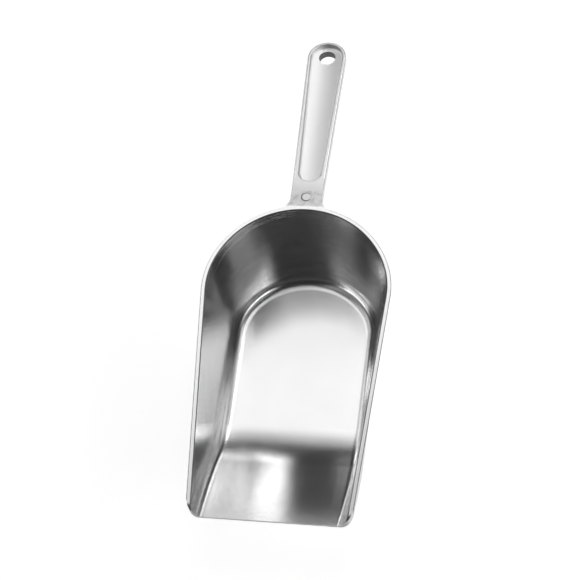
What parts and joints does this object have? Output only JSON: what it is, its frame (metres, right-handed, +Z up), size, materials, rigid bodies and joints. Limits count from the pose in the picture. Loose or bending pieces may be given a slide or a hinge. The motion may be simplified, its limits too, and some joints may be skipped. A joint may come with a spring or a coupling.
{
  "type": "ice scoop",
  "caption": "Cast aluminium scoop with a flat-bottomed open bowl, a sloped pouring ramp and a straight troughed handle with a hanging hole.",
  "frame": {"origin": "on the flat underside of the bowl, on the plane of symmetry, below the centre of the rounded back", "axes": "+Z up out of the mouth, +Y along the handle, the pouring lip towards -Y, +X across"},
  "size_m": [0.1096, 0.313, 0.063],
  "materials": {
    "bowl_metal": "polished inside, satin outside and on the rim",
    "handle_metal": "satin"
  },
  "bodies": {
    "root": {"bowl": "bowl_metal", "handle": "handle_metal"}
  },
  "joints": []
}
